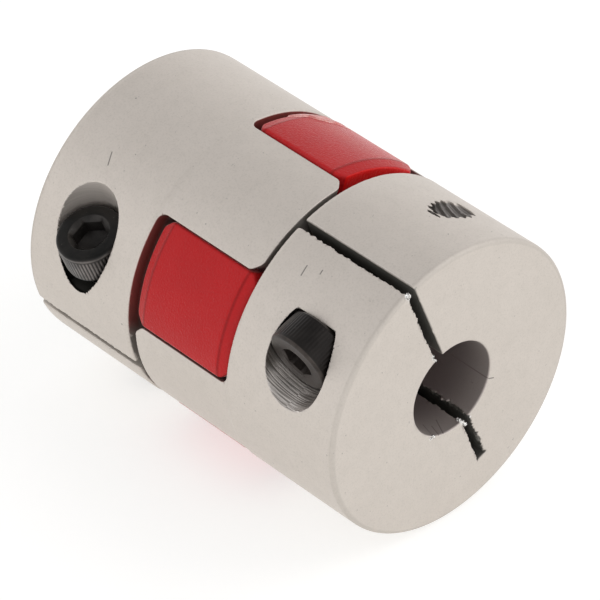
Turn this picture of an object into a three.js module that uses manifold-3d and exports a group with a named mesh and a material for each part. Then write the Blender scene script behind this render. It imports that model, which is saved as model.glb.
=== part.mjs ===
// A clamp-type jaw coupling: two aluminium hubs, each slit and pinched onto its shaft by one
// socket head screw, with a four-lobed elastomer spider between their interlocking jaws.
// Millimetres. X is the coupling's axis, +X towards the front hub, +Z up, and the origin is
// on the axis, midway between the two outer end faces.
import * as THREE from "three";
import { mergeVertices } from "three/addons/utils/BufferGeometryUtils.js";
import Module from "manifold-3d";

const wasm = await Module();
wasm.setup();

// Driving dimensions of the assembly.
const outerRadius = 12.5;
const assembledLength = 34.3;
const boreRadius = 4;
const lean = THREE.MathUtils.degToRad(21.7); // turn of the front slit from upright, as it lies

// Hub. The jaws stand on the inner face of a solid body and reach towards the other hub.
const bodyLength = 11.6;
const endFace = assembledLength / 2;
const rootFace = endFace - bodyLength;
const rimRound = 0.4;
const boreChamfer = 0.15;
const slitWidth = 0.8;
const slitDepthBeyondAxis = 9.2;
const jawStep = 0.04; // the jaw end is turned this much smaller in radius
const jawStepBehindRoot = 0.3;

// Jaws, and the spaces between them that the spider's lobes fill.
const jawInnerRadius = 5.6;
const spaceHalfAngle = THREE.MathUtils.degToRad(21.35); // of a lobe's space, at the outer radius
const spaceRootHalfAngle = THREE.MathUtils.degToRad(30); // of a lobe's space, at the inner radius
const flankSagitta = 0.45; // how deep each jaw flank is hollowed
const rootFillet = 0.75;
const tipChamfer = 0.75;

// Spider.
const lobeClearance = 0.15; // to each jaw flank
const lobeCornerRound = 0.7;
const lobeTaperLength = 0.95;
const lobeTaperDepth = 0.3;
const longLobeEnds = [-4.8, rootFace - lobeClearance];
const shortLobeEnds = [-5.05, rootFace - 1.25];
const webOuterRadius = 5.35;
const webHalfLength = 4.1;
const spiderHoleRadius = 4.25;

// M3 x 10 socket head cap screw.
const headRadius = 2.75;
const headHeight = 2.9;
const headRound = 0.28;
const socketAcrossFlats = 2.5;
const socketDepth = 1.5;
const shankRadius = 1.42;
const shankLength = 10;
const shankTipChamfer = 0.3;
const clearanceHoleRadius = 1.7;
const threadedHoleRadius = 1.5;

// The two hubs differ a little: in jaw length, in where the screw's counterbore lies, and in how
// far the screw is run in. The front one is tight, the rear one is backed off by two turns.
// Distances from the slit are from its middle plane.
const frontHubSizes = {
  jawLength: 10.3,
  screwFromEndFace: 5.2,
  screwFromAxis: 9.05,
  screwTilt: THREE.MathUtils.degToRad(1.4), // from square to the slit, its head outwards
  counterboreRadius: 2.93,
  seatFromSlit: 5.35,
  headFromSlit: 5.4,
};
const rearHubSizes = {
  jawLength: 10.7,
  screwFromEndFace: 5.8,
  screwFromAxis: 8.6,
  screwTilt: 0,
  counterboreRadius: 3.05,
  seatFromSlit: 4.4,
  headFromSlit: 5.7,
};

// Smoothness: how many sides each kind of round surface gets.
const outerSegments = 120;
const boreSegments = 48;
const screwSegments = 36;
const holeSegments = 24;
const openingFlankSegments = 10;
const openingArcSegments = 12;
const lobeFlankSegments = 8;
const rimSegments = 3;
const filletSegments = 3;
const lobeRoundSegments = 2;

const overshoot = 1; // how far a cutter runs past the surface it opens
const arcOvershoot = 0.2; // the same for a flank's arc, as a share of its length
const mergeTolerance = 1e-4;

const materials = {
  aluminium: new THREE.MeshStandardMaterial({ color: 0xcfc8c0, roughness: 0.5, metalness: 0.6 }),
  elastomer: new THREE.MeshStandardMaterial({ color: 0xb9262b, roughness: 0.5, metalness: 0 }),
  blackSteel: new THREE.MeshStandardMaterial({ color: 0x23211f, roughness: 0.4, metalness: 0.8 }),
};

// A closed geometry as a manifold-3d solid, and back.
function solid(geometry) {
  const bare = geometry.clone();
  bare.deleteAttribute("normal");
  bare.deleteAttribute("uv");
  const merged = mergeVertices(bare, mergeTolerance);
  return new wasm.Manifold(
    new wasm.Mesh({
      numProp: 3,
      vertProperties: new Float32Array(merged.attributes.position.array),
      triVerts: new Uint32Array(merged.index.array),
    }),
  );
}

function geometryOf(manifold) {
  const mesh = manifold.getMesh();
  const geometry = new THREE.BufferGeometry();
  geometry.setAttribute("position", new THREE.BufferAttribute(mesh.vertProperties, 3));
  geometry.setIndex(new THREE.BufferAttribute(mesh.triVerts, 1));
  geometry.computeVertexNormals();
  return geometry;
}

// Turns a solid of revolution about Y into one about X, its +Y end towards +X.
const yAxisToX = new THREE.Matrix4().makeRotationZ(-Math.PI / 2);
// Lays a shape's plane on YZ, so that it is extruded along +X.
const shapePlaneToYZ = new THREE.Matrix4().set(0, 0, 1, 0, 1, 0, 0, 0, 0, 1, 0, 0, 0, 0, 0, 1);

// A solid of revolution about X, from [x, radius] pairs in order of growing x.
function turned(profile, segments) {
  const points = profile.map(([x, radius]) => new THREE.Vector2(radius, x));
  return new THREE.LatheGeometry(points, segments).applyMatrix4(yAxisToX);
}

// A plain cylinder along X.
function rod(radius, from, to, segments) {
  const geometry = new THREE.CylinderGeometry(radius, radius, to - from, segments);
  return geometry.applyMatrix4(yAxisToX).translate((from + to) / 2, 0, 0);
}

// A hub's screw line in that hub's frame: its origin on the slit's middle plane, and its +Y the
// way that the screw runs in.
function screwLine(sizes) {
  const tilt = new THREE.Quaternion().setFromEuler(new THREE.Euler(-sizes.screwTilt, 0, 0));
  const origin = new THREE.Vector3(endFace - sizes.screwFromEndFace, 0, sizes.screwFromAxis);
  return new THREE.Matrix4().compose(origin, tilt, new THREE.Vector3(1, 1, 1));
}

// Points of a quarter-round rim, as [x, radius] pairs, between the wall and the end face.
function roundedRim(x, radius, round) {
  const points = [];
  for (let i = 0; i <= rimSegments; i++) {
    const turn = (i / rimSegments) * (Math.PI / 2);
    points.push([x - round + round * Math.sin(turn), radius - round + round * Math.cos(turn)]);
  }
  return points;
}

// The arc along one side of a lobe's space, in a frame whose first axis is the lobe's own
// radial direction. It runs from the inner radius to past the outer radius.
function flankArc(clearance) {
  const inner = new THREE.Vector2(
    jawInnerRadius * Math.cos(spaceRootHalfAngle),
    jawInnerRadius * Math.sin(spaceRootHalfAngle),
  );
  const outer = new THREE.Vector2(
    outerRadius * Math.cos(spaceHalfAngle),
    outerRadius * Math.sin(spaceHalfAngle),
  );
  const chord = outer.clone().sub(inner);
  const halfChord = chord.length() / 2;
  const radius = (halfChord ** 2 + flankSagitta ** 2) / (2 * flankSagitta);
  const outward = new THREE.Vector2(-chord.y, chord.x).normalize();
  const middle = inner.clone().add(outer).multiplyScalar(0.5);
  const centre = middle.clone().addScaledVector(outward, flankSagitta - radius);
  const start = inner.clone().sub(centre).angle();
  const end = outer.clone().sub(centre).angle();
  const lead = (end - start) * arcOvershoot;
  return { centre, radius: radius - clearance, start: start - lead, end: end + lead };
}

// Points along one flank, turned to the lobe at the given angle. side is 1 or -1.
function flankPoints(clearance, lobeAngle, side, steps) {
  const arc = flankArc(clearance);
  const points = [];
  for (let i = 0; i <= steps; i++) {
    const turn = arc.start + ((arc.end - arc.start) * i) / steps;
    const along = arc.centre.x + arc.radius * Math.cos(turn);
    const across = side * (arc.centre.y + arc.radius * Math.sin(turn));
    points.push(new THREE.Vector2(along, across).rotateAround(new THREE.Vector2(), lobeAngle));
  }
  return points;
}

// The whole opening between a hub's two jaws on one side of the slit plane, as a shape in YZ:
// a lobe at 45 degrees, the other hub's jaw at 90 and a lobe at 135.
function openingShape() {
  const firstFlank = flankPoints(0, Math.PI / 4, -1, openingFlankSegments);
  const lastFlank = flankPoints(0, (3 * Math.PI) / 4, 1, openingFlankSegments).reverse();
  const from = firstFlank.at(-1);
  const to = lastFlank[0];
  const reach = outerRadius + 3 * overshoot;
  const shape = new THREE.Shape(firstFlank);
  shape.absarc(0, 0, reach, from.angle(), to.angle(), false);
  lastFlank.forEach((point) => shape.lineTo(point.x, point.y));
  shape.closePath();
  return shape;
}

// Clears the opening between the jaws: rounded into the body at the root, flared at the tips.
function openingCutter(tip) {
  const shape = openingShape();
  const throughCut = new THREE.ExtrudeGeometry(shape, {
    depth: rootFace - tip + overshoot - rootFillet,
    curveSegments: openingArcSegments,
    bevelThickness: rootFillet,
    bevelSize: rootFillet,
    bevelOffset: -rootFillet,
    bevelSegments: filletSegments,
  });
  throughCut.applyMatrix4(shapePlaneToYZ).translate(tip - overshoot, 0, 0);
  const flare = new THREE.ExtrudeGeometry(shape, {
    depth: overshoot,
    curveSegments: openingArcSegments,
    bevelThickness: tipChamfer,
    bevelSize: tipChamfer,
    bevelSegments: 1,
  });
  flare.applyMatrix4(shapePlaneToYZ).translate(tip - overshoot, 0, 0);
  return solid(throughCut).add(solid(flare));
}

// One hub in its own frame: end face towards +X, slit open towards +Z, jaws on +Y and -Y, and
// the screw head let in from -Y.
function hubGeometry(sizes) {
  const tip = rootFace - sizes.jawLength;
  const step = rootFace + jawStepBehindRoot;
  const bar = turned(
    [
      [tip, 0],
      [tip, outerRadius - jawStep],
      [step, outerRadius - jawStep],
      [step + jawStep, outerRadius],
      ...roundedRim(endFace, outerRadius, rimRound),
      [endFace, 0],
    ],
    outerSegments,
  );
  const innerClearance = rod(jawInnerRadius, tip - overshoot, rootFace, boreSegments);
  const bore = turned(
    [
      [tip, 0],
      [tip, boreRadius],
      [endFace - boreChamfer, boreRadius],
      [endFace + overshoot, boreRadius + boreChamfer + overshoot],
      [endFace + overshoot, 0],
    ],
    boreSegments,
  );
  const slitHeight = outerRadius + overshoot + slitDepthBeyondAxis;
  const slit = new THREE.BoxGeometry(3 * bodyLength, slitWidth, slitHeight);
  slit.translate(rootFace, 0, slitHeight / 2 - slitDepthBeyondAxis);

  const outside = outerRadius + overshoot;
  const seat = -sizes.seatFromSlit;
  const hole = (radius, from, to, segments) => {
    const cutter = new THREE.CylinderGeometry(radius, radius, to - from, segments);
    return solid(cutter.translate(0, (from + to) / 2, 0).applyMatrix4(screwLine(sizes)));
  };
  const opening = openingCutter(tip);
  return geometryOf(
    solid(bar)
      .subtract(solid(innerClearance))
      .subtract(opening)
      .subtract(opening.rotate([180, 0, 0]))
      .subtract(solid(bore))
      .subtract(solid(slit))
      .subtract(hole(sizes.counterboreRadius, -outside, seat, screwSegments))
      .subtract(hole(clearanceHoleRadius, seat - overshoot, 0, holeSegments))
      .subtract(hole(threadedHoleRadius, 0, outside, holeSegments)),
  );
}

// A socket head cap screw along X, its head towards +X and the underside of the head at x = 0.
function screwGeometry() {
  const body = turned(
    [
      [-shankLength, 0],
      [-shankLength, shankRadius - shankTipChamfer],
      [-shankLength + shankTipChamfer, shankRadius],
      [0, shankRadius],
      [0, headRadius],
      ...roundedRim(headHeight, headRadius, headRound),
      [headHeight, 0],
    ],
    screwSegments,
  );
  const hexCornerRadius = socketAcrossFlats / Math.sqrt(3);
  const socket = rod(hexCornerRadius, headHeight - socketDepth, headHeight + overshoot, 6);
  return geometryOf(solid(body).subtract(solid(socket)));
}

// One lobe of the spider, centred on the given angle in YZ, between two places on the axis.
function lobe(angle, from, to) {
  const outline = [
    ...flankPoints(lobeClearance, angle, -1, lobeFlankSegments),
    ...flankPoints(lobeClearance, angle, 1, lobeFlankSegments).reverse(),
  ];
  const prism = new THREE.ExtrudeGeometry(new THREE.Shape(outline), {
    depth: to - from - 2 * lobeCornerRound,
    bevelThickness: lobeCornerRound,
    bevelSize: lobeCornerRound,
    bevelOffset: -lobeCornerRound,
    bevelSegments: lobeRoundSegments,
  });
  prism.applyMatrix4(shapePlaneToYZ).translate(from + lobeCornerRound, 0, 0);
  const envelope = turned(
    [
      [from, 0],
      [from, outerRadius - lobeTaperDepth],
      [from + lobeTaperLength, outerRadius],
      [to - lobeTaperLength, outerRadius],
      [to, outerRadius - lobeTaperDepth],
      [to, 0],
    ],
    outerSegments,
  );
  return solid(prism).intersect(solid(envelope));
}

// The spider. Facing lobes are alike: one pair sits against the front hub and is longer, the
// other pair stands back from it.
function spiderGeometry() {
  let spider = solid(rod(webOuterRadius, -webHalfLength, webHalfLength, boreSegments));
  for (let quarter = 0; quarter < 4; quarter++) {
    const angle = lean + Math.PI / 4 + (quarter * Math.PI) / 2;
    const [from, to] = quarter % 2 === 0 ? shortLobeEnds : longLobeEnds;
    spider = spider.add(lobe(angle, from, to));
  }
  const hole = rod(spiderHoleRadius, -assembledLength / 2, assembledLength / 2, boreSegments);
  return geometryOf(spider.subtract(solid(hole)));
}

function part(name, geometry, material) {
  const mesh = new THREE.Mesh(geometry, material);
  mesh.name = name;
  return mesh;
}

// A hub with its screw standing in it, in the hub's own frame.
function hubAssembly(hubName, screwName, sizes) {
  const group = new THREE.Group();
  const screw = part(screwName, screwGeometry(), materials.blackSteel);
  screw.rotation.z = -Math.PI / 2;
  screw.position.y = -sizes.headFromSlit;
  const line = new THREE.Group();
  line.applyMatrix4(screwLine(sizes));
  line.add(screw);
  group.add(part(hubName, hubGeometry(sizes), materials.aluminium), line);
  return group;
}

const front = hubAssembly("front_hub", "front_clamp_screw", frontHubSizes);
front.rotation.x = lean;

// The rear hub faces the other way, a quarter turn round, so that the jaws interlock.
const rear = new THREE.Group();
const rearTurnedRound = hubAssembly("rear_hub", "rear_clamp_screw", rearHubSizes);
rearTurnedRound.rotation.z = Math.PI;
rear.add(rearTurnedRound);
rear.rotation.x = lean + Math.PI / 2;

const coupling = new THREE.Group();
coupling.add(front, rear, part("spider", spiderGeometry(), materials.elastomer));

export default coupling;
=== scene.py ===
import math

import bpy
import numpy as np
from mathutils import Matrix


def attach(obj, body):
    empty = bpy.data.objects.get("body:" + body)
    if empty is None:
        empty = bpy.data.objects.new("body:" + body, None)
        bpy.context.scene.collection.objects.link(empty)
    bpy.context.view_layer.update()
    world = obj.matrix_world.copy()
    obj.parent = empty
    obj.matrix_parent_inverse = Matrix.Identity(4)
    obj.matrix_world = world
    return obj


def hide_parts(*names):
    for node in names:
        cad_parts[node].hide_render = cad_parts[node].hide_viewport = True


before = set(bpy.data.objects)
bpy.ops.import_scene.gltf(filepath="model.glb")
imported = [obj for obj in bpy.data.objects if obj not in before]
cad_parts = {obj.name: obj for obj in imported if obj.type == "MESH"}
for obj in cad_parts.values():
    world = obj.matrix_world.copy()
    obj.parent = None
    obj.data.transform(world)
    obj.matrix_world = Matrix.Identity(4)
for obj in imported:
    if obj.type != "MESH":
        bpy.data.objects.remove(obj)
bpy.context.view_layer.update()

# A clamp-type jaw coupling lying on its side: two bead-blasted aluminium hubs, each slit and
# pinched by a black M3 socket head screw, with a red elastomer spider between their jaws.
#
# Hubs and spider are made from distance functions: for any point, how far it is outside the
# piece. Cuts, rounded edges and fillets are sums done on those distances, and a volume mesher
# turns the zero level into faces. The screws are swept rings. Everything is in metres.

import openvdb
from mathutils import Matrix, Vector

MM = 0.001
COS_45 = math.sqrt(0.5)

# ---------------------------------------------------------------- sizes of the real coupling
OUTER_RADIUS = 12.5 * MM
END_FACE = 17.15 * MM  # of a hub, from the middle of the coupling
BODY_LENGTH = 11.6 * MM
ROOT_FACE = END_FACE - BODY_LENGTH  # the body's inner face, where the jaws start
BORE_RADIUS = 4 * MM
BORE_MOUTH_ROUND = 0.15 * MM
RIM_ROUND = 0.4 * MM
SLIT_WIDTH = 0.8 * MM
SLIT_BEYOND_AXIS = 9.2 * MM
LEAN = math.radians(21.7)  # turn of the front slit from upright

JAW_STEP = 0.075 * MM  # the jaw end is turned this much smaller in radius
JAW_STEP_AT = ROOT_FACE + 0.3 * MM
JAW_STEP_WIDTH = 0.24 * MM
JAW_INNER_RADIUS = 5.6 * MM
SPACE_HALF_ANGLE = math.radians(21.35)  # of a lobe's space, at the outer radius
SPACE_ROOT_HALF_ANGLE = math.radians(30)  # of a lobe's space, at the inner radius
FLANK_SAGITTA = 0.45 * MM
ROOT_FILLET = 0.75 * MM
TIP_CHAMFER = 0.75 * MM
EDGE_BREAK = 0.09 * MM  # rounding of the machined edges
JAW_INNER_ROUND = 3 * EDGE_BREAK
JAW_TIP_ROUND = 2 * EDGE_BREAK
SLIT_EDGE_ROUND = 0.3 * EDGE_BREAK
COUNTERBORE_EDGE_ROUND = 0.6 * EDGE_BREAK
COUNTERBORE_FLOOR_ROUND = 0.25 * MM

CLEARANCE_HOLE_RADIUS = 1.7 * MM
THREAD_MAJOR_RADIUS = 1.5 * MM
THREAD_MINOR_RADIUS = 1.25 * MM
THREAD_PITCH = 0.5 * MM
THREAD_VEE = 0.433 * MM  # height of the full 60 degree vee at that pitch
THREAD_SLOPE = 2  # keeps the distance from a thread from growing faster than the mesher allows
BARE_THREAD_FROM = 0.3 * MM  # past the screw's end, where the hub's own thread is cut

# The ragged edges of the slits: how deep they go, the size of their lumps, and how far they bite.
TEAR_REACH = 0.3 * MM
TEAR_COARSE = 0.34 * MM
TEAR_FINE = 0.17 * MM
TEAR_FINE_SHARE = 0.6
CLEAN_TEAR = 0.008 * MM
ROUGH_TEAR = 0.1 * MM
DEEP_TEAR = 0.2 * MM
PATCH_COUNT = 64  # after so many patches the irregular pattern repeats

# A burr is a ball that is crumpled in and out about its mean radius.
BURR_RIPPLE = 0.23 * MM  # spacing of the crumples
BURR_CROSS_RIPPLE = 0.7  # as a share of the other two ripples' rate
BURR_MEAN = 0.85
BURR_SWING = 0.35
BURR_EDGE = 0.05 * MM
BURRS_FROM = END_FACE - 1 * MM

# Burrs on the hubs, as place (X, Y, Z) and size in millimetres in the hub's own frame.
FRONT_BURRS = [
    ((17.0, -0.3, 12.2), 0.3),
    ((16.95, -0.4, 11.85), 0.2),
    ((17.1, -0.38, 4.75), 0.16),
    ((17.12, -0.5, 4.45), 0.12),
    ((17.1, -0.36, 4.15), 0.15),
    ((17.0, -0.42, -3.75), 0.17),
    ((16.7, -0.4, -3.9), 0.15),
    ((17.1, -0.3, -4.1), 0.2),
    ((17.12, -0.2, -4.5), 0.22),
    ((17.1, -0.12, -4.85), 0.17),
    ((17.1, 0.42, -4.3), 0.13),
    ((17.12, -3.1, -2.62), 0.2),
    ((17.12, -3.4, -2.5), 0.16),
]
REAR_BURRS = [
    ((17.05, -0.36, 12.1), 0.17),
    ((17.1, 0.4, -4.2), 0.18),
    ((17.1, -0.38, 4.3), 0.14),
]

# Scratches, as start and end in millimetres in the hub's own frame.
FRONT_SCRATCHES = [
    ((8.62, -3.35, 12.04), (8.53, -2.54, 12.24)),
    ((9.93, -2.53, 12.24), (9.9, -2.21, 12.3)),
    ((12.9, 3.14, -2.47), (17.15, 3.14, -2.47)),
    ((17.15, 3.14, -2.47), (17.16, 3.6, -2.9)),
    ((17.04, -2.18, -3.35), (15.51, -1.49, -3.71)),
    ((17.1, -2.6, -3.04), (15.9, -2.25, -3.31)),
    ((16.9, -3.03, -2.61), (15.47, -2.65, -2.99)),
]
REAR_SCRATCHES = [
    ((-4.41, -12.18, -2.79), (-3.58, -12.25, -2.49)),
    ((12.17, -11.75, 4.28), (12.56, -12.05, 3.33)),
]

# Each hub's sizes and finish, with how strongly shade is painted in its slit, on its screw head's
# knurled side and on its counterbore's wall.
FRONT = {
    "jaw_length": 10.3 * MM,
    "screw_from_end_face": 5.2 * MM,
    "screw_from_axis": 9.05 * MM,
    "screw_tilt": math.radians(1.4),
    "counterbore_radius": 2.93 * MM,
    "seat_from_slit": 5.35 * MM,
    "head_from_slit": 5.4 * MM,
    "socket_turn": math.radians(4),
    "bowl_radius": 1.5 * MM,  # of the socket's countersunk lead-in
    "bowl_depth": 0.12 * MM,
    "knurl_depth": 0.022 * MM,
    "seed": 3,
    "burrs": FRONT_BURRS,
    "scratches": FRONT_SCRATCHES,
    "wall_colours": ((0.36, 0.325, 0.30, 1), (0.80, 0.745, 0.70, 1)),
    "oxide": ((0.022, 0.0175, 0.015, 1), (0.055, 0.045, 0.039, 1)),
    "wear": 0.05,
    "head_side_shade": 0.8,
    "mark_depth": 0.6,
    "wall_shade": 0.7,
    "slit_shade_colour": (0.215, 0.205, 0.185, 1),
    "wall_roughness": 0.24,
    "head_shadow_from": 3.5 * MM,
}
REAR = {
    "jaw_length": 10.7 * MM,
    "screw_from_end_face": 5.8 * MM,
    "screw_from_axis": 8.6 * MM,
    "screw_tilt": 0.0,
    "counterbore_radius": 3.05 * MM,
    "seat_from_slit": 4.4 * MM,
    "head_from_slit": 5.7 * MM,
    "socket_turn": math.radians(7),
    "bowl_radius": 1.72 * MM,
    "bowl_depth": 0.4 * MM,
    "knurl_depth": 0.042 * MM,
    "seed": 8,
    "burrs": REAR_BURRS,
    "scratches": REAR_SCRATCHES,
    "wall_colours": ((0.76, 0.70, 0.64, 1), (0.82, 0.755, 0.70, 1)),
    "oxide": ((0.005, 0.005, 0.0045, 1), (0.014, 0.0125, 0.011, 1)),
    "wear": 0.38,
    "head_side_shade": 0.0,
    "mark_depth": 0.15,
    "wall_shade": 0.0,
    "slit_shade_colour": (0.5, 0.465, 0.42, 1),
    "wall_roughness": 0.45,
    "head_shadow_from": 0.9 * MM,
}

LOBE_CLEARANCE = 0.15 * MM
LOBE_CORNER_CUT = 0.7 * MM
LOBE_CORNER_ROUND = 0.16 * MM
LOBE_EDGE_BEVEL = 0.07 * MM
LOBE_EDGE_ROUND = 0.06 * MM
LOBE_TAPER_LENGTH = 0.95 * MM
LOBE_TAPER_DEPTH = 0.3 * MM
LOBE_MOST_TAPER = 1.5  # beyond the ends, as a share of the taper's depth
LONG_LOBE_ENDS = (-4.8 * MM, ROOT_FACE - LOBE_CLEARANCE)
LONG_LOBE_RADIUS = OUTER_RADIUS - 0.12 * MM
SHORT_LOBE_ENDS = (-5.05 * MM, ROOT_FACE - 1.25 * MM)
SHORT_LOBE_RADIUS = OUTER_RADIUS + 0.08 * MM
WEB_RADIUS = 5.35 * MM
WEB_HALF_LENGTH = 4.1 * MM
WEB_EDGE_ROUND = 0.3 * MM
WEB_FILLET = 0.4 * MM
SPIDER_HOLE_RADIUS = 4.25 * MM
SPIDER_HOLE_ROUND = 0.2 * MM

# The torn flash on one lobe: a sliver that runs across the lobe and slants away from its end.
FLASH_FROM = -4.75 * MM
FLASH_TO = -2.85 * MM
FLASH_TURN = math.radians(3.5)  # of its middle, from the lobe's
FLASH_WIDTH = math.radians(20)
FLASH_BREADTH = 0.7 * MM
FLASH_HEIGHT = 0.13 * MM
FLASH_COARSE = 0.9 * MM  # size of the lumps along its torn edge
FLASH_FINE = 0.35 * MM
FLASH_FINE_SHARE = 0.4
FLASH_TORN = 0.3  # how much the lumps push the edge about, as a share of the breadth
FLASH_EDGE = 0.15  # over what share of the breadth it fades out
FLASH_SEED = 21

HEAD_RADIUS = 2.75 * MM
HEAD_HEIGHT = 2.9 * MM
HEAD_ROUND = 0.28 * MM
SOCKET_ACROSS_FLATS = 2.5 * MM
SOCKET_DEPTH = 1.5 * MM
SHANK_LENGTH = 10 * MM
KNURL_COUNT = 60
POINTS_PER_KNURL = 6
RIM_WEAR_WIDTH = 0.1 * MM

# The screws' profiles. The bowl's steps lead from the hexagon out to its lip, each as a share of the
# way out and a share of the bowl's depth. The knurl's steps are heights in millimetres above the
# underside of the head, each with the share of the knurl's depth that is reached there.
SOCKET_POINT_DEPTH = 0.35 * MM
SOCKET_POINT_RADIUS = 0.02 * MM
SOCKET_FLOOR_SHARE = 0.93  # radius of the flat-bottomed drill, as a share of the hexagon's flats
SOCKET_CORNER = ((0.03 * MM, 0.99), (0.08 * MM, 1.0))  # height above the floor, share of the hexagon
BOWL_STEPS = ((0, -0.05), (0.03, 0.02), (0.1, 0.12), (0.5, 0.55), (0.9, 0.95), (1, 1))
BOWL_LIP = 0.06 * MM
HEAD_ROUND_STEPS = 6
KNURL_STEPS = ((2.5, 0), (2.42, 0.6), (2.3, 1), (0.5, 1), (0.38, 0.6), (0.3, 0))
HEAD_BAND_TOP = 0.25 * MM
HEAD_BEVEL = ((0.03 * MM, 0.25 * MM), (0, 0.3 * MM))  # height, and how far in from the head's side
SCREW_ROOT_RADIUS = 1.2 * MM
SCREW_CREST_RADIUS = 1.46 * MM
NECK_FILLET = ((0, 0.2 * MM), (-0.06 * MM, 0.05 * MM), (-0.2 * MM, 0))  # height, width past the crest
THREAD_FROM = 0.3 * MM  # below the underside of the head
THREAD_PHASE = 0.25 * MM
THREAD_STEPS_PER_PITCH = 6
THREAD_RUN_IN = 1.5  # pitches over which the thread grows to its full depth
SCREW_TIP_CHAMFER = 0.45 * MM
SCREW_TIP_INSET = 0.1 * MM
SOCKET_WEAR = 0.13
SAME_RADIUS = 0.01 * MM  # radii closer than this count as equal

# Where each hub's own frame lies. The spider lies in the front hub's.
FRONT_PLACE = Matrix.Rotation(LEAN, 4, "X")
REAR_PLACE = Matrix.Rotation(LEAN + math.pi / 2, 4, "X") @ Matrix.Rotation(math.pi, 4, "Z")

# Colours of the blasted skin.
SKIN_LIGHT = (0.66, 0.609, 0.558, 1)
SKIN_DARK = (0.62, 0.569, 0.518, 1)
# Stain of the skin, also used for painted shade along the rim.
SKIN_STAIN_AND_SHADE = (0.40, 0.37, 0.33, 1)

PIT_COLOUR = (0.14, 0.13, 0.12, 1)
SCRATCH_COLOUR = (0.1, 0.095, 0.09, 1)
# Painted shadow of a screw's head on its counterbore's wall.
HEAD_SHADOW_COLOUR = (0.016, 0.017, 0.014, 1)
WALL_SHADE_COLOUR = (0.1, 0.085, 0.072, 1)
# Painted shade between the jaws.
RECESS_SHADE_COLOUR = (0.32, 0.29, 0.262, 1)
# Painted red reflection of the spider on the jaws' roots.
RED_REFLECTION_COLOUR = (0.28, 0.062, 0.052, 1)
# Painted shade in the bore.
BORE_SHADE_COLOUR = (0.31, 0.262, 0.255, 1)
# Painted shade in the tapped hole.
TAPPED_SHADE_COLOUR = (0.30, 0.28, 0.27, 1)
BURR_COLOUR = (0.85, 0.85, 0.83, 1)

# Where one finish or painted shade of a hub fades into another, as two distances from a limit.
BELOW_SKIN = (-0.2 * MM, -0.1 * MM)
BELOW_END_FACE = (-0.12 * MM, -0.02 * MM)
SAWN_HALF_WIDTH = (0.62 * MM, 0.7 * MM)
PAST_BORE = (0.05 * MM, 0.15 * MM)
BORE_WALL = (0.01 * MM, 0.1 * MM)
BORE_MOUTH = (-0.1 * MM, 0.02 * MM)
BORE_DEPTH = (-4 * MM, 0)
PAST_ROOT_FACE = (0.02 * MM, 0.08 * MM)
# Where the painted red reflection of the spider reaches, beside the lobes on the root face.
RED_REFLECTION_ACROSS = (6.5 * MM, 9 * MM)
RED_REFLECTION_BELOW_SKIN = (-1.6 * MM, -0.9 * MM)
RED_REFLECTION_BELOW_ROOT = (-0.3 * MM, -0.1 * MM)
RIM_REACH = (-0.45 * MM, -0.25 * MM)
LET_IN_REACH = (0.005 * MM, 0.03 * MM)
TAPPED_WALL = (0.05 * MM, 0.12 * MM)
TAPPED_START = (0, 0.1 * MM)
HEAD_SHADOW_REACH = (0, 0.9 * MM)
WALL_SHADE_REACH = (-2.7 * MM, -0.9 * MM)

# How strongly each shows.
BLOTCH_SHARE = 0.1
GRAIN_SHARE = 0.3
PIT_SHARE = 0.55
SCRATCH_SHARE = 0.7
HEAD_SHADOW_SHARE = 0.97
RECESS_SHADE_SHARE = 0.93
RIM_SHADE_SHARE = 0.25
BORE_SHADE_SHARES = (0.92, 0.6)  # deep in the bore, and at its mouth
TAPPED_SHADE_SHARE = 0.85

# Grains of the blasted skin. Limits are values of the noise.
BLOTCH_LIMITS = (0.3, 0.75)
PIT_LIMITS = (0.70, 0.76)
GRAIN_LIMITS = (0.45, 0.8)
BURR_LIMITS = (0.3, 0.6)
SKIN_METALLIC = 0.85
SKIN_ROUGHNESS = 0.55
GRAIN_ROUGHNESS = 0.1
BURR_ROUGHNESS = 0.2
MOTTLE_SIZE = 5 * MM
BLOTCH_SIZE = 0.9 * MM
PIT_SIZE = 0.42 * MM
GRAIN_SIZE = 0.16 * MM
GRAIN_HEIGHT = 0.012 * MM
SCRATCH_WIDTH = 0.075 * MM
SCRATCH_DEPTH = 0.01 * MM

# Tool marks on the counterbore's wall.
MARK_WIDTH = 0.15 * MM
MARK_LENGTH = 4.5 * MM
MARK_HEIGHT = 0.012 * MM
MARK_LIMITS = (0.42, 0.58)

# The elastomer's skin, and the painted shade of the fine crease across a lobe where its end's taper
# begins.
RED_COLOURS = ((0.48, 0.006, 0.008, 1), (0.40, 0.004, 0.006, 1))
PEBBLE_COLOUR = (0.52, 0.03, 0.03, 1)
PEBBLE_SIZE = 0.17 * MM
PEBBLE_HEIGHT = 0.055 * MM
CREASE_SHADE_COLOUR = (0.27, 0.0, 0.001, 1)
CREASE_SHADE_REACH = (0.02 * MM, 0.21 * MM)
LOBE_END_REACH = (-0.09 * MM, -0.04 * MM)
CLOUD_SIZE = 3 * MM
PEBBLE_LIMITS = (0.5, 0.75)
PEBBLE_SHARE = 0.12
CREASE_SHADE_SHARE = 0.85
FLASH_RISE = (0.05, 0.35)
FLASH_FALL = (0.5, 0.95, 1, 0.55)
SCUFF_SIZE = 0.7 * MM
SCUFF_SEED = 4.0
SCUFF_LIMITS = (0.4, 0.6, 0.5, 1.0)
RED_ROUGHNESS = (0.3, 0.7, 0.36, 0.55)
RED_FINISH = {
    "Specular_IOR_Level": 0.22,
    "Sheen_Weight": 0.68,
    "Sheen_Roughness": 0.3,
    "Sheen_Tint": (1.0, 0.75, 0.72, 1),
    "Subsurface_Weight": 0.3,
    "Subsurface_Radius": (1.0, 0.12, 0.1),
    "Subsurface_Scale": 1 * MM,
}
# Painted light on the lobes' end faces.
END_FACE_LIGHT_COLOUR = (0.66, 0.006, 0.005, 1)
FLASH_COLOUR = (0.8, 0.46, 0.42, 1)

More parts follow.
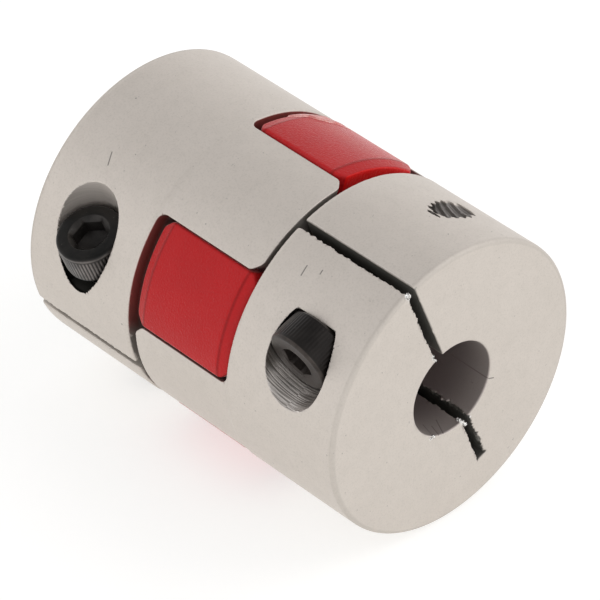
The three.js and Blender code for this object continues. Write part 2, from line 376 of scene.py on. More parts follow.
# The screws' steel.
WORN_COLOUR = (0.55, 0.49, 0.46, 1)
# Painted shade on the knurled side of a screw's head.
HEAD_SIDE_SHADE_COLOUR = (0.006, 0.005, 0.0045, 1)
NICK_COLOUR = (0.12, 0.105, 0.095, 1)
STAIN_SIZE = 1.4 * MM
STAIN_LIMITS = (0.3, 0.7)
STAIN_ROUGHNESS = (0.28, 0.42)
GRIT_SIZE = 0.12 * MM
GRIT_HEIGHT = 0.006 * MM
GRIT_ROUGHNESS = 0.06
WEAR_SIZE = 1.5 * MM
WEAR_LIMITS = (0.3, 0.7, 0.3, 1)
NICK_SIZE = 0.3 * MM
NICK_STRETCH = (1, 0.4, 1)
NICK_LIMITS = (0.66, 0.72)
NICK_SHARE = 0.5
OXIDE_FINISH = {"Metallic": 0.5, "Specular_IOR_Level": 0.3}

# ---------------------------------------------------------------- distances


def round_max(a, b, radius):
    """What is inside both a and b, with the edge between them rounded."""
    outside = np.hypot(np.maximum(a + radius, 0), np.maximum(b + radius, 0))
    return np.minimum(np.maximum(a, b), -radius) + outside


def round_min(a, b, radius):
    """What is inside a or b, with a fillet where they meet."""
    inside = np.hypot(np.maximum(radius - a, 0), np.maximum(radius - b, 0))
    return np.maximum(np.minimum(a, b), radius) - inside


def chamfer_max(a, b, size, radius):
    """What is inside both a and b, with a chamfer that has slightly rounded edges."""
    bevel = (a + b + size) * COS_45
    return round_max(round_max(a, bevel, radius), b, radius)


def patches(a, b, size, seed):
    """Smooth irregular patches of about that size over two coordinates, between -1 and 1."""
    count = PATCH_COUNT
    table = np.random.default_rng(seed).uniform(-1, 1, (count, count))
    row, column = np.floor(a / size).astype(int), np.floor(b / size).astype(int)
    u, v = a / size - row, b / size - column
    u, v = u * u * (3 - 2 * u), v * v * (3 - 2 * v)
    near, ahead = row % count, (row + 1) % count
    left, right = column % count, (column + 1) % count
    start = table[near, left] + (table[ahead, left] - table[near, left]) * u
    end = table[near, right] + (table[ahead, right] - table[near, right]) * u
    return start + (end - start) * v


def torn(hub, x, y, z, r):
    """How far the saw has torn the slit's sides, near the surfaces that it broke out of. The edge
    at -Y is the worse one on the screw's side of the bore, and the edge at +Y beyond the bore."""
    depth = np.minimum(np.minimum(OUTER_RADIUS - r, END_FACE - x), np.abs(r - BORE_RADIUS))
    near_surface = np.exp(-np.maximum(depth, 0) / TEAR_REACH)
    size = np.where(y < 0, ROUGH_TEAR, np.where(z > 0, CLEAN_TEAR, DEEP_TEAR))
    coarse = patches(x + r, x - r, TEAR_COARSE, hub["seed"])
    fine = patches(x + r, x - r, TEAR_FINE, hub["seed"] + 1)
    return size * near_surface * (coarse + TEAR_FINE_SHARE * fine)


def flank_circle():
    """Centre and radius of a jaw flank's circle, along and across the lobe that it faces."""
    root_angle, rim_angle = SPACE_ROOT_HALF_ANGLE, SPACE_HALF_ANGLE
    inner = JAW_INNER_RADIUS * np.array([math.cos(root_angle), math.sin(root_angle)])
    outer = OUTER_RADIUS * np.array([math.cos(rim_angle), math.sin(rim_angle)])
    chord = outer - inner
    half_chord = np.linalg.norm(chord) / 2
    radius = (half_chord**2 + FLANK_SAGITTA**2) / (2 * FLANK_SAGITTA)
    outward = np.array([-chord[1], chord[0]]) / (2 * half_chord)
    return (inner + outer) / 2 + outward * (FLANK_SAGITTA - radius), radius


FLANK_CENTRE, FLANK_RADIUS = flank_circle()


def lobe_place(y, z):
    """Distance along the nearest lobe from the axis, and across it, towards the slit's plane.
    The four lobes lie at 45 degrees to Y and Z."""
    return (np.abs(z) + np.abs(y)) * COS_45, (np.abs(z) - np.abs(y)) * COS_45


def outside_jaw(y, z):
    """Distance from the hollow flanks of the jaws that stand at +Y and -Y."""
    along, across = lobe_place(y, z)
    return FLANK_RADIUS - np.hypot(along - FLANK_CENTRE[0], across + FLANK_CENTRE[1])


def screw_place(hub, x, y, z):
    """Distance from the screw's line, how far along it and the turn about it, in a hub's frame."""
    cosine, sine = math.cos(hub["screw_tilt"]), math.sin(hub["screw_tilt"])
    height = z - hub["screw_from_axis"]
    along = y * cosine - height * sine
    up = y * sine + height * cosine
    aside = x - (END_FACE - hub["screw_from_end_face"])
    return np.hypot(aside, up), along, np.arctan2(aside, up)


def thread_radius(along, turn, lowest, highest):
    """Radius of a right-handed 60 degree thread, cut off between two radii."""
    phase = along / THREAD_PITCH - turn / (2 * math.pi)
    tooth = np.abs(2 * (phase - np.floor(phase)) - 1)
    middle = (THREAD_MAJOR_RADIUS + THREAD_MINOR_RADIUS) / 2
    return np.clip(middle + (tooth - 0.5) * THREAD_VEE, lowest, highest)


def burr(place, size, x, y, z):
    """Distance from one burr, whose place and size are in millimetres in the hub's frame."""
    centre = np.array(place) * MM
    out = np.sqrt((x - centre[0]) ** 2 + (y - centre[1]) ** 2 + (z - centre[2]) ** 2)
    ripple = 2 * math.pi / BURR_RIPPLE
    crumple = np.sin(ripple * (x + y + centre[2])) * np.sin(ripple * (z - y))
    crumple = crumple * np.sin(BURR_CROSS_RIPPLE * ripple * (y + x))
    return out - size * MM * (BURR_MEAN + BURR_SWING * crumple)


def burr_mask(hub, x, y, z):
    """1 on the burrs and 0 elsewhere."""
    nearest = np.full(x.shape, 1.0)
    for place, size in hub["burrs"]:
        nearest = np.minimum(nearest, burr(place, size, x, y, z))
    return np.clip(1 - nearest / BURR_EDGE, 0, 1)


def hub_distance(hub, x, y, z):
    """A hub in its own frame: end face towards +X, slit towards +Z, jaws at +Y and -Y."""
    r = np.hypot(y, z)
    tip = ROOT_FACE - hub["jaw_length"]

    jaw = round_max(outside_jaw(y, z), JAW_INNER_RADIUS - r, JAW_INNER_ROUND)
    jaw = chamfer_max(jaw, tip - x, TIP_CHAMFER, JAW_TIP_ROUND)
    solid = round_min(jaw, ROOT_FACE - x, ROOT_FILLET)

    # The turned outside, with its small step near the jaws, then the rim and the bore.
    step = JAW_STEP * np.clip((JAW_STEP_AT - x) / JAW_STEP_WIDTH, 0, 1)
    solid = round_max(solid, r - OUTER_RADIUS + step, EDGE_BREAK)
    solid = round_max(solid, x - END_FACE, RIM_ROUND)
    solid = round_max(solid, BORE_RADIUS - r, BORE_MOUTH_ROUND)

    # The sawn slit, and the burrs that the saw left at its corners.
    slit = np.maximum(np.abs(y) - SLIT_WIDTH / 2 - torn(hub, x, y, z, r), -SLIT_BEYOND_AXIS - z)
    solid = round_max(solid, -slit, SLIT_EDGE_ROUND)
    if np.max(x) > BURRS_FROM:
        for place, size in hub["burrs"]:
            solid = np.minimum(solid, burr(place, size, x, y, z))

    # The screw's counterbore, clearance hole and tapped hole.
    out, along, turn = screw_place(hub, x, y, z)
    wall, floor = out - hub["counterbore_radius"], along + hub["seat_from_slit"]
    counterbore = round_max(wall, floor, COUNTERBORE_FLOOR_ROUND)
    solid = round_max(solid, -counterbore, COUNTERBORE_EDGE_ROUND)
    clearance = np.maximum(out - CLEARANCE_HOLE_RADIUS, along)
    solid = round_max(solid, -clearance, EDGE_BREAK)
    bare_from = SHANK_LENGTH - hub["head_from_slit"] + BARE_THREAD_FROM
    cut_thread = thread_radius(along, turn, THREAD_MINOR_RADIUS, THREAD_MAJOR_RADIUS)
    hole_radius = np.where(along < bare_from, THREAD_MAJOR_RADIUS, cut_thread)
    tapped = np.maximum((out - hole_radius) / THREAD_SLOPE, -along)
    return np.maximum(solid, -tapped)


def flash_mask(x, y, z):
    """Where torn moulding flash is left on one lobe, from 0 to 1."""
    turn = np.arctan2(y, z) - math.pi / 4
    across = turn * OUTER_RADIUS
    coarse = patches(x, across, FLASH_COARSE, FLASH_SEED)
    fine = patches(x, across, FLASH_FINE, FLASH_SEED + 1)
    share = (turn - FLASH_TURN) / FLASH_WIDTH
    middle = FLASH_FROM + (FLASH_TO - FLASH_FROM) * np.clip(0.5 + share, 0, 1) ** 2
    off = np.hypot((x - middle) / FLASH_BREADTH, 2 * share)
    inside = 1.05 - off - FLASH_TORN * (coarse + FLASH_FINE_SHARE * fine)
    return np.clip(inside / FLASH_EDGE, 0, 1)


def spider_distance(x, y, z):
    """The spider in the front hub's frame. Facing lobes are alike."""
    r = np.hypot(y, z)
    along, across = lobe_place(y, z)
    long_pair = y * z < 0
    low = np.where(long_pair, LONG_LOBE_ENDS[0], SHORT_LOBE_ENDS[0])
    high = np.where(long_pair, LONG_LOBE_ENDS[1], SHORT_LOBE_ENDS[1])
    top = np.where(long_pair, LONG_LOBE_RADIUS, SHORT_LOBE_RADIUS)
    from_end = (high - low) / 2 - np.abs(x - (low + high) / 2)

    # A lobe's section, cut off at its ends with its corners cut, and its bevelled outer face.
    section = np.hypot(along - FLANK_CENTRE[0], np.abs(across) - FLANK_CENTRE[1])
    flank = section - FLANK_RADIUS + LOBE_CLEARANCE
    lobe = chamfer_max(flank, -from_end, LOBE_CORNER_CUT, LOBE_CORNER_ROUND)
    taper = LOBE_TAPER_DEPTH * np.clip(1 - from_end / LOBE_TAPER_LENGTH, 0, LOBE_MOST_TAPER)
    skin = r - top + taper - FLASH_HEIGHT * flash_mask(x, y, z)
    lobe = chamfer_max(lobe, skin, LOBE_EDGE_BEVEL, LOBE_EDGE_ROUND)
    web = round_max(r - WEB_RADIUS, np.abs(x) - WEB_HALF_LENGTH, WEB_EDGE_ROUND)
    return round_max(round_min(lobe, web, WEB_FILLET), SPIDER_HOLE_RADIUS - r, SPIDER_HOLE_ROUND)


# ---------------------------------------------------------------- faces from distances

VOXEL = 0.1 * MM
MARGIN = 0.4 * MM
ADAPTIVITY = 0.01
FIELD_LIMIT = 3.0  # in voxels: further out, the distance isn't needed
SLICE_COUNT = 16  # voxel layers worked out at a time
GRADIENT_REACH = 0.008 * MM
PROJECTION_ROUNDS = 6
LEAST_STEEPNESS = 0.2
MOST_MOVE = 0.3  # of a voxel, in one round
SHARP_ANGLE = math.radians(32)
TINY = 1e-12


def gradient(distance, points):
    """Which way, and how fast, the distance grows at each point."""
    slopes = np.empty_like(points)
    for axis in range(3):
        offset = np.zeros(3)
        offset[axis] = GRADIENT_REACH
        ahead = distance(*(points + offset).T)
        behind = distance(*(points - offset).T)
        slopes[:, axis] = (ahead - behind) / (2 * GRADIENT_REACH)
    return slopes


def sample(distance, low, high):
    """The distance in voxels, on a grid, worked out a slice at a time."""
    x, y, z = (np.arange(a, b + VOXEL, VOXEL, dtype=np.float32) for a, b in zip(low, high))
    field = np.empty((len(x), len(y), len(z)), np.float32)
    for start in range(0, len(x), SLICE_COUNT):
        layers = slice(start, start + SLICE_COUNT)
        field[layers] = distance(x[layers, None, None], y[None, :, None], z[None, None, :]) / VOXEL
    return np.clip(field, -FIELD_LIMIT, FIELD_LIMIT)


def main_part(points, triangles, quads):
    """Only what is joined to the largest part, without any crumb that lies loose beside a burr."""
    sides = [triangles[:, :2], triangles[:, 1:], quads[:, :2], quads[:, 1:3], quads[:, 2:]]
    edges = np.concatenate(sides)
    part = np.arange(len(points))
    while True:
        least = np.minimum(part[edges[:, 0]], part[edges[:, 1]])
        joined = part.copy()
        np.minimum.at(joined, edges[:, 0], least)
        np.minimum.at(joined, edges[:, 1], least)
        joined = joined[joined]
        if np.array_equal(joined, part):
            break
        part = joined
    kept = part == np.bincount(part).argmax()
    renumbered = np.cumsum(kept) - 1
    triangles, quads = (renumbered[faces[kept[faces[:, 0]]]] for faces in (triangles, quads))
    return points[kept], triangles, quads


def shell(distance, low, high):
    """Points, faces and normals of the surface where the distance is zero. The mesher's points lie
    only near that surface, so they are then moved onto it down the distance's slope."""
    grid = openvdb.FloatGrid(background=FIELD_LIMIT)
    grid.copyFromArray(sample(distance, low, high))
    mesh = grid.convertToPolygons(isovalue=0.0, adaptivity=ADAPTIVITY)
    points, triangles, quads = main_part(*mesh)
    points = np.asarray(low) + points.astype(np.float64) * VOXEL
    for _ in range(PROJECTION_ROUNDS):
        slopes = gradient(distance, points)
        steepness = np.maximum((slopes**2).sum(axis=1), LEAST_STEEPNESS)
        move = slopes * (distance(*points.T) / steepness)[:, None]
        length = np.linalg.norm(move, axis=1)[:, None]
        points -= move * np.minimum(1, MOST_MOVE * VOXEL / np.maximum(length, TINY))
    slopes = gradient(distance, points)
    normals = slopes / np.maximum(np.linalg.norm(slopes, axis=1), TINY)[:, None]
    return points, [*triangles.tolist(), *quads.tolist()], normals


def store(obj, name, values):
    """Keeps a number per point for the material to read."""
    attribute = obj.data.attributes.new(name, "FLOAT", "POINT")
    attribute.data.foreach_set("value", values.astype(np.float32))


def object_from(name, points, faces, material, normals=None):
    """A smooth-shaded object. Faces are turned over if they enclose a negative volume."""
    mesh = bpy.data.meshes.new(name)
    mesh.from_pydata(points.tolist(), [], faces)
    mesh.validate()
    first = points[[face[0] for face in faces]]
    second = points[[face[1] for face in faces]]
    third = points[[face[2] for face in faces]]
    if np.einsum("ij,ij->i", first, np.cross(second, third)).sum() < 0:
        mesh.flip_normals()
    mesh.shade_smooth()
    if normals is not None:
        mesh.normals_split_custom_set_from_vertices(normals.tolist())
    mesh.materials.append(material)
    obj = bpy.data.objects.new(name, mesh)
    bpy.context.scene.collection.objects.link(obj)
    return obj


# ---------------------------------------------------------------- swept rings


def ring_mesh(name, rings, material):
    """A closed piece from rings of points along -X, each an array of (x, y, z) rows. The first
    and last rings are closed by a fan."""
    count = len(rings[0])
    points = np.concatenate([*rings, [rings[0].mean(axis=0)], [rings[-1].mean(axis=0)]])
    faces = []
    for ring in range(len(rings) - 1):
        for i in range(count):
            j = (i + 1) % count
            here, after = ring * count, (ring + 1) * count
            faces.append([here + i, here + j, after + j, after + i])
    first_centre, last_centre = len(points) - 2, len(points) - 1
    last = (len(rings) - 1) * count
    for i in range(count):
        j = (i + 1) % count
        faces.append([first_centre, j, i])
        faces.append([last_centre, last + i, last + j])
    obj = object_from(name, points, faces, material)
    obj.data.set_sharp_from_angle(angle=SHARP_ANGLE)
    return obj


def screw_mesh(name, hub, material):
    """A hub's socket head cap screw, its head towards +X and the underside of the head at x = 0."""
    bowl_radius, knurl_depth = hub["bowl_radius"], hub["knurl_depth"]
    count = KNURL_COUNT * POINTS_PER_KNURL
    turn = np.arange(count) * 2 * math.pi / count
    sixth = math.pi / 3
    in_side = np.mod(turn + hub["socket_turn"], sixth) - sixth / 2
    flat = SOCKET_ACROSS_FLATS / 2
    hexagon = flat / np.cos(in_side)

    def ring(x, radius):
        radius = np.broadcast_to(radius, turn.shape)
        depth = np.broadcast_to(x, turn.shape)
        return np.stack([depth, radius * np.sin(turn), radius * np.cos(turn)], axis=1)

    # The socket: drill point, floor and walls, and the bowl that leads into it.
    floor = HEAD_HEIGHT - SOCKET_DEPTH
    rings = [
        ring(floor - SOCKET_POINT_DEPTH, SOCKET_POINT_RADIUS),
        ring(floor, flat * SOCKET_FLOOR_SHARE),
    ]
    for height, share in SOCKET_CORNER:
        rings.append(ring(floor + height, hexagon * share))
    for share, height in BOWL_STEPS:
        radius = hexagon + (bowl_radius - hexagon) * share
        rings.append(ring(HEAD_HEIGHT - hub["bowl_depth"] * (1 - height), radius))
    rings.append(ring(HEAD_HEIGHT, bowl_radius + BOWL_LIP))

    # The rim of the head, then its knurled side and the plain band and bevel under it.
    for i in range(HEAD_ROUND_STEPS + 1):
        bend = i / HEAD_ROUND_STEPS * math.pi / 2
        x = HEAD_HEIGHT - HEAD_ROUND * (1 - math.cos(bend))
        rings.append(ring(x, HEAD_RADIUS - knurl_depth - HEAD_ROUND * (1 - math.sin(bend))))
    knurl = 0.5 - 0.5 * np.cos(turn * KNURL_COUNT)
    for x, height in KNURL_STEPS:
        rings.append(ring(x * MM, HEAD_RADIUS - knurl_depth * (1 - knurl * height)))
    rings.append(ring(HEAD_BAND_TOP, HEAD_RADIUS - knurl_depth))
    for x, inset in HEAD_BEVEL:
        rings.append(ring(x, HEAD_RADIUS - inset))

    # The fillet under the head, the thread, and the chamfered tip.
    root, crest = SCREW_ROOT_RADIUS, SCREW_CREST_RADIUS
    for x, width in NECK_FILLET:
        rings.append(ring(x, crest + width))
    for i in range(round((SHANK_LENGTH - THREAD_FROM) / THREAD_PITCH * THREAD_STEPS_PER_PITCH)):
        pitches = i / THREAD_STEPS_PER_PITCH
        x = -THREAD_FROM - pitches * THREAD_PITCH
        threaded = thread_radius(x - THREAD_PHASE, -turn, root, crest)
        run_in = min(1, pitches / THREAD_RUN_IN)
        tip_limit = crest - max(0, -x - SHANK_LENGTH + SCREW_TIP_CHAMFER)
        rings.append(ring(x, np.minimum(crest + (threaded - crest) * run_in, tip_limit)))
    rings.append(ring(-SHANK_LENGTH, root - SCREW_TIP_INSET))
    obj = ring_mesh(name, rings, material)

    # Wear shows on what stands furthest out: the rim of the head and the crests of its knurl.
    x, y, z = np.array([vertex.co for vertex in obj.data.vertices]).T
    radius = np.hypot(y, z)
    crest_wear = np.clip((radius - HEAD_RADIUS + knurl_depth) / knurl_depth, 0, 1)
    on_side = radius > HEAD_RADIUS - 2 * knurl_depth
    rim_wear = np.exp(-(((x - HEAD_HEIGHT + HEAD_ROUND) / RIM_WEAR_WIDTH) ** 2)) * on_side
    socket_wear = SOCKET_WEAR * (radius < bowl_radius - SAME_RADIUS) * (x > 0)
    store(obj, "mask", np.maximum(np.maximum(crest_wear, rim_wear), socket_wear))
    store(obj, "knurl", on_side * (x < HEAD_HEIGHT - HEAD_ROUND))
    return obj


# ---------------------------------------------------------------- materials


class Shading:
    """A material whose nodes are added and linked one at a time. Masks run from 0 to 1."""

    def __init__(self, name):
        self.material = bpy.data.materials.new(name)
        self.material.use_nodes = True
        self.tree = self.material.node_tree
        self.shader = self.tree.nodes["Principled BSDF"]
        self.place = self.node("TexCoord").outputs["Object"]

    def node(self, kind, inputs=None, **settings):
        node = self.tree.nodes.new("ShaderNode" + kind)
        for name, value in settings.items():
            setattr(node, name, value)
        for name, value in (inputs or {}).items():
            self.put(node.inputs[name], value)
        return node

    def put(self, socket, value):
        if isinstance(value, bpy.types.NodeSocket):
            self.tree.links.new(value, socket)
        else:
            socket.default_value = value

    def math(self, operation, *values):
        node = self.node("Math", operation=operation)
        for socket, value in zip(node.inputs, values):
            self.put(socket, value)
        return node.outputs[0]

    def vector(self, operation, *values, output="Vector"):
        node = self.node("VectorMath", operation=operation)
        for socket, value in zip(node.inputs, values):
            self.put(socket, value)
        return node.outputs[output]

    def noise(self, size, detail=2.0, roughness=0.5, stretch=(1, 1, 1), seed=0.0):
        """Noise from 0 to 1 whose lumps are about that size in metres."""
        spread = tuple(axis / size for axis in stretch)
        place = self.vector("MULTIPLY", self.place, spread)
        inputs = {"Vector": place, "W": seed, "Scale": 1.0, "Detail": detail, "Roughness": roughness}
        return self.node("TexNoise", inputs, noise_dimensions="4D").outputs["Fac"]

    def band(self, value, low, high, to_low=0.0, to_high=1.0):
        """Carries a value from one range to another, smoothly and held at both ends."""
        inputs = {"Value": value, "From Min": low, "From Max": high, "To Min": to_low, "To Max": to_high}
        return self.node("MapRange", inputs, interpolation_type="SMOOTHSTEP").outputs["Result"]

    def blend(self, factor, a, b):
        node = self.node("Mix", data_type="RGBA")
        self.put(node.inputs["Factor"], factor)
        self.put(node.inputs["A"], a)
        self.put(node.inputs["B"], b)
        return node.outputs["Result"]

    def bump(self, height, distance, strength=1.0, under=None):
        inputs = {"Height": height, "Distance": distance, "Strength": strength}
        if under is not None:
            inputs["Normal"] = under
        return self.node("Bump", inputs).outputs["Normal"]

    def dot(self, place, direction):
        return self.vector("DOT_PRODUCT", place, tuple(direction), output="Value")

    def times(self, *masks):
        product = masks[0]
        for mask in masks[1:]:
            product = self.math("MULTIPLY", product, mask)
        return product

    def stored(self, name):
        return self.node("Attribute", attribute_name=name).outputs["Fac"]

    def line(self, start, end, width):
        """1 on a fine straight scratch between two points, and 0 beside it."""
        run = end - start
        from_start = self.vector("SUBTRACT", self.place, tuple(start))
        share = self.math("DIVIDE", self.dot(from_start, run), run.length_squared)
        share = self.node("Clamp", {"Value": share}).outputs[0]
        off = self.vector("SUBTRACT", from_start, self.vector("MULTIPLY", tuple(run), share))
        return self.band(self.vector("LENGTH", off, output="Value"), 0.4 * width, width, 1, 0)

    def lines(self, segments, placed, width):
        """All of some scratches, given as start and end in millimetres in the placed frame."""
        total = 0.0
        for start, end in segments:
            scratch = self.line(placed @ (Vector(start) * MM), placed @ (Vector(end) * MM), width)
            total = self.math("MAXIMUM", total, scratch)
        return total

    def finish(self, **sockets):
        for name, value in sockets.items():
            self.put(self.shader.inputs[name.replace("_", " ")], value)
        return self.material


def around(limit, reach):
    """The two values between which a mask fades near a limit."""
    return limit + reach[0], limit + reach[1]


def screw_line(hub, placed):
    """A point on the screw's line, the way it runs in, and the way away from the hub's axis."""
    tilt = Matrix.Rotation(-hub["screw_tilt"], 3, "X")
    origin = Vector((END_FACE - hub["screw_from_end_face"], 0, hub["screw_from_axis"]))
    turn = placed.to_3x3() @ tilt
    return placed @ origin, turn @ Vector((0, 1, 0)), turn @ Vector((0, 0, 1))


def aluminium(name, hub, placed):
    """Bead-blasted, clear anodised aluminium, machined in the counterbore. Shade is painted in the bore,
    the slit, the tapped hole, between the jaws, on the rim and on the counterbore's wall, with a
    painted red reflection of the spider near the jaws' roots."""
    s = Shading(name)
    seed = hub["seed"]
    axes = placed.to_3x3()
    x = s.dot(s.place, axes.col[0])
    y = s.math("ABSOLUTE", s.dot(s.place, axes.col[1]))
    z = s.math("ABSOLUTE", s.dot(s.place, axes.col[2]))
    r = s.vector("LENGTH", s.vector("MULTIPLY", s.place, (0, 1, 1)), output="Value")

    # Where the saw, drill and tap have been, and where shade and the spider's red reflection are
    # painted.
    under_skin = s.times(
        s.band(r, *around(OUTER_RADIUS, BELOW_SKIN), 1, 0),
        s.band(x, *around(END_FACE, BELOW_END_FACE), 1, 0),
    )
    sawn = s.times(
        under_skin,
        s.band(y, *SAWN_HALF_WIDTH, 1, 0),
        s.band(r, *around(BORE_RADIUS, PAST_BORE)),
    )
    bored = s.times(
        s.band(r, *around(BORE_RADIUS, BORE_WALL), 1, 0),
        s.band(x, *around(END_FACE, BORE_MOUTH), 1, 0),
    )
    between_jaws = s.times(under_skin, s.band(x, *around(ROOT_FACE, PAST_ROOT_FACE), 1, 0))
    # A painted red reflection of the spider, on the root face's outer band beside each lobe.
    wear_and_red_reflection = s.times(
        s.band(s.math("ABSOLUTE", s.math("SUBTRACT", z, y)), *RED_REFLECTION_ACROSS, 1, 0),
        s.band(r, *around(OUTER_RADIUS, RED_REFLECTION_BELOW_SKIN)),
        s.band(x, *around(ROOT_FACE, RED_REFLECTION_BELOW_ROOT)),
    )
    rim = s.times(
        s.band(r, *around(OUTER_RADIUS, RIM_REACH)),
        s.band(x, *around(END_FACE, RIM_REACH)),
    )
    origin, run_in, away = screw_line(hub, placed)
    from_line = s.vector("SUBTRACT", s.place, tuple(origin))
    across = s.vector("CROSS_PRODUCT", from_line, tuple(run_in))
    out = s.vector("LENGTH", across, output="Value")
    along = s.dot(from_line, run_in)
    lift = s.dot(from_line, away)
    aside = s.dot(from_line, run_in.cross(away))
    limit, seat = hub["counterbore_radius"], -hub["seat_from_slit"]
    let_in = s.times(
        s.band(out, *around(limit, LET_IN_REACH), 1, 0),
        s.band(along, *around(seat, LET_IN_REACH), 1, 0),
    )
    tapped = s.times(
        s.band(out, *around(THREAD_MAJOR_RADIUS, TAPPED_WALL), 1, 0),
        s.band(along, *TAPPED_START),
        under_skin,
    )

    # Tool marks run round the counterbore's wall.
    arc = s.math("MULTIPLY", s.math("ARCTAN2", aside, lift), limit)
    place = {"X": s.math("DIVIDE", along, MARK_WIDTH), "Y": s.math("DIVIDE", arc, MARK_LENGTH)}
    chatter = s.node("CombineXYZ", place).outputs[0]
    inputs = {"Vector": chatter, "W": seed, "Scale": 1.0, "Detail": 2.0, "Roughness": 0.55}
    streak = s.node("TexNoise", inputs, noise_dimensions="4D").outputs["Fac"]
    marks = s.times(s.band(streak, *MARK_LIMITS), let_in, hub["mark_depth"])

    # The blasted skin, with pits, specks and a few scratches.
    mottle = s.noise(MOTTLE_SIZE, detail=3, seed=seed)
    grain = s.noise(GRAIN_SIZE, detail=3, roughness=0.6, seed=seed)
    blotch = s.noise(BLOTCH_SIZE, detail=3, roughness=0.6, seed=seed + 1.5)
    pits = s.band(s.noise(PIT_SIZE, detail=2, roughness=0.7, seed=seed + 2.5), *PIT_LIMITS)
    scratches = s.lines(hub["scratches"], placed, SCRATCH_WIDTH)

    colour = s.blend(mottle, SKIN_LIGHT, SKIN_DARK)
    colour = s.blend(s.times(s.band(blotch, *BLOTCH_LIMITS), BLOTCH_SHARE), colour, SKIN_STAIN_AND_SHADE)
    colour = s.blend(s.times(s.band(grain, *GRAIN_LIMITS), GRAIN_SHARE), colour, SKIN_STAIN_AND_SHADE)
    colour = s.blend(s.times(pits, PIT_SHARE), colour, PIT_COLOUR)
    colour = s.blend(s.times(scratches, SCRATCH_SHARE), colour, SCRATCH_COLOUR)
    wall = s.blend(s.band(streak, *MARK_LIMITS), *hub["wall_colours"])
    # Painted shadow of the head on the counterbore's wall, on its side away from the hub's axis.
    shadowed_wall = s.times(let_in, s.band(lift, *around(hub["head_shadow_from"], HEAD_SHADOW_REACH)), HEAD_SHADOW_SHARE)
    shade = s.band(lift, *WALL_SHADE_REACH, 0, hub["wall_shade"])
    wall = s.blend(shade, wall, WALL_SHADE_COLOUR)
    colour = s.blend(let_in, colour, wall)
    colour = s.blend(shadowed_wall, colour, HEAD_SHADOW_COLOUR)
    # Painted shade between the jaws, tinted red near the lobes by a painted reflection of the spider.
    recess_shade = s.blend(wear_and_red_reflection, RECESS_SHADE_COLOUR, RED_REFLECTION_COLOUR)
    colour = s.blend(s.times(between_jaws, RECESS_SHADE_SHARE), colour, recess_shade)
    # Painted shade along the rounded rim of the end face.
    colour = s.blend(s.times(rim, RIM_SHADE_SHARE), colour, SKIN_STAIN_AND_SHADE)
    # Painted shade in the bore, growing darker inwards from its mouth.
    bore_shade = s.band(x, *around(END_FACE, BORE_DEPTH), *BORE_SHADE_SHARES)
    colour = s.blend(s.times(bored, bore_shade), colour, BORE_SHADE_COLOUR)
    # Painted shade on the slit's walls, darker in the front hub than in the rear one.
    colour = s.blend(sawn, colour, hub["slit_shade_colour"])
    # Painted shade in the tapped hole.
    colour = s.blend(s.times(tapped, TAPPED_SHADE_SHARE), colour, TAPPED_SHADE_COLOUR)
    burrs = s.stored("mask")
    colour = s.blend(s.times(burrs, s.band(grain, *BURR_LIMITS)), colour, BURR_COLOUR)

    plain = s.band(let_in, 0, 1, SKIN_ROUGHNESS, hub["wall_roughness"])
    roughness = s.math("ADD", plain, s.times(grain, GRAIN_ROUGHNESS))
    roughness = s.band(burrs, 0, 1, roughness, BURR_ROUGHNESS)
    normal = s.bump(s.times(grain, s.math("SUBTRACT", 1.0, let_in)), GRAIN_HEIGHT)
    normal = s.bump(marks, MARK_HEIGHT, under=normal)
    normal = s.bump(scratches, -SCRATCH_DEPTH, under=normal)
    return s.finish(Base_Color=colour, Metallic=SKIN_METALLIC, Roughness=roughness, Normal=normal)


def elastomer(name):
    """Red moulded polyurethane, satin, with a fine pebbled skin and a bit of torn flash; its crease
    lines are darkened by painted shade and its lobes' end faces brightened by painted light.
    """
    s = Shading(name)
    axes = FRONT_PLACE.to_3x3()
    x = s.dot(s.place, axes.col[0])
    side = s.times(s.dot(s.place, axes.col[1]), s.dot(s.place, axes.col[2]))
    long_pair = s.math("LESS_THAN", side, 0.0)
    cloud = s.noise(CLOUD_SIZE, detail=2)
    pebble = s.noise(PEBBLE_SIZE, detail=2, roughness=0.6)
    flash = s.stored("mask")

    # Painted crease shade in lines across the lobes, and painted light on the lobes' brighter end faces.
    line = end_face = 0.0
    short_pair = s.math("SUBTRACT", 1.0, long_pair)
    for (low, high), pair in ((LONG_LOBE_ENDS, long_pair), (SHORT_LOBE_ENDS, short_pair)):
        for place in (low + LOBE_TAPER_LENGTH, high - LOBE_TAPER_LENGTH):
            away = s.math("ABSOLUTE", s.math("SUBTRACT", x, place))
            line = s.math("MAXIMUM", line, s.times(s.band(away, *CREASE_SHADE_REACH, 1, 0), pair))
        from_middle = s.math("ABSOLUTE", s.math("SUBTRACT", x, (low + high) / 2))
        beyond = s.math("SUBTRACT", from_middle, (high - low) / 2)
        at_end = s.times(s.band(beyond, *LOBE_END_REACH), pair)
        end_face = s.math("MAXIMUM", end_face, at_end)

    colour = s.blend(cloud, *RED_COLOURS)
    colour = s.blend(s.times(s.band(pebble, *PEBBLE_LIMITS), PEBBLE_SHARE), colour, PEBBLE_COLOUR)
    # Painted shade of the crease along each line.
    colour = s.blend(s.times(line, CREASE_SHADE_SHARE), colour, CREASE_SHADE_COLOUR)
    # Painted light brightens the lobes' end faces.
    colour = s.blend(end_face, colour, END_FACE_LIGHT_COLOUR)
    flash_edge = s.times(s.band(flash, *FLASH_RISE), s.band(flash, *FLASH_FALL))
    scuffed = s.band(s.noise(SCUFF_SIZE, detail=4, roughness=0.7, seed=SCUFF_SEED), *SCUFF_LIMITS)
    colour = s.blend(s.times(flash_edge, scuffed), colour, FLASH_COLOUR)
    roughness = s.band(pebble, *RED_ROUGHNESS)
    normal = s.bump(pebble, PEBBLE_HEIGHT)
    return s.finish(Base_Color=colour, Roughness=roughness, Normal=normal, **RED_FINISH)


